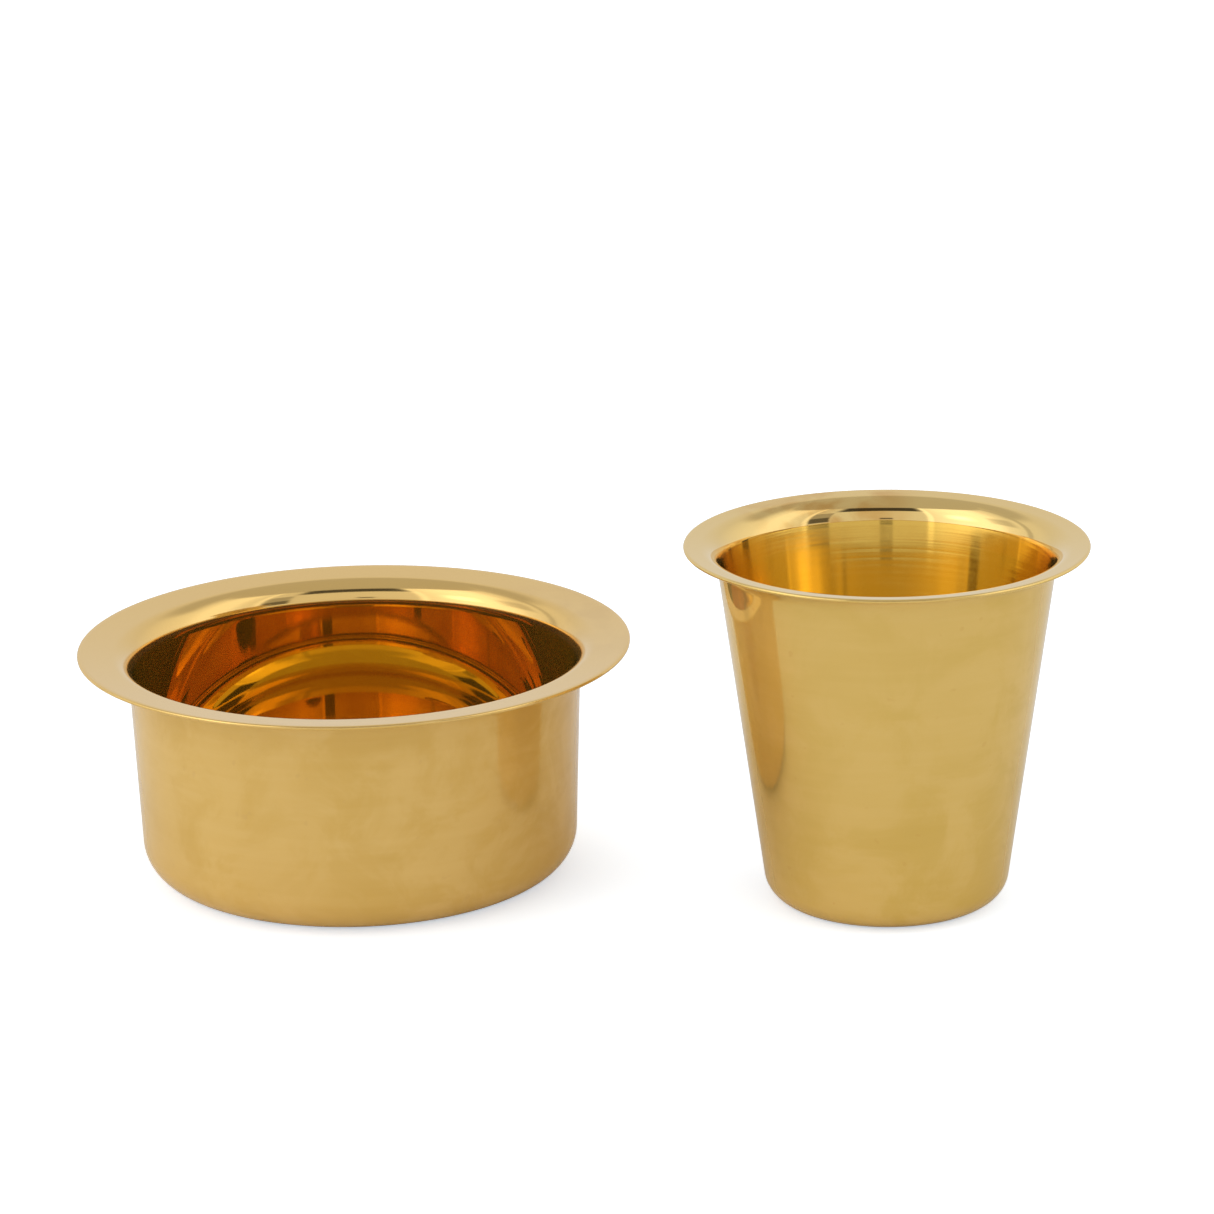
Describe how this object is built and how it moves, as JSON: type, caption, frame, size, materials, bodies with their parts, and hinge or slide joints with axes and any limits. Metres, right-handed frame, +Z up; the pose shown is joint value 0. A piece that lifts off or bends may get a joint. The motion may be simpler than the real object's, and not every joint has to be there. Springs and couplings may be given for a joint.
{
  "type": "dabara and tumbler coffee set",
  "caption": "Brass filter-coffee set: a wide, nearly straight-sided bowl with a broad flared brim, beside a tapered cup with a flared brim, both spun from sheet brass.",
  "frame": {"origin": "on the table, under the middle of the set's bounding box", "axes": "+X from the dabara towards the tumbler, the set's longest way; +Y away from the side the tumbler is set forward on; +Z up along both vessels' axes"},
  "size_m": [0.2078, 0.1228, 0.075],
  "materials": {
    "dabara_brass": "polished outer wall under a thin haze of smudges, bright brim, mirror-polished inside",
    "tumbler_brass": "polished outer wall under a thin haze of smudges, bright brim with a brown stain, inside polished over fine turning marks"
  },
  "bodies": {
    "dabara": {"dabara": "dabara_brass"},
    "tumbler": {"tumbler": "tumbler_brass"}
  },
  "joints": [
    {"name": "tumbler_lift", "type": "slide", "parent": "dabara", "child": "tumbler", "axis": [0, 0, 1], "range_m": [0, 0.1]}
  ]
}
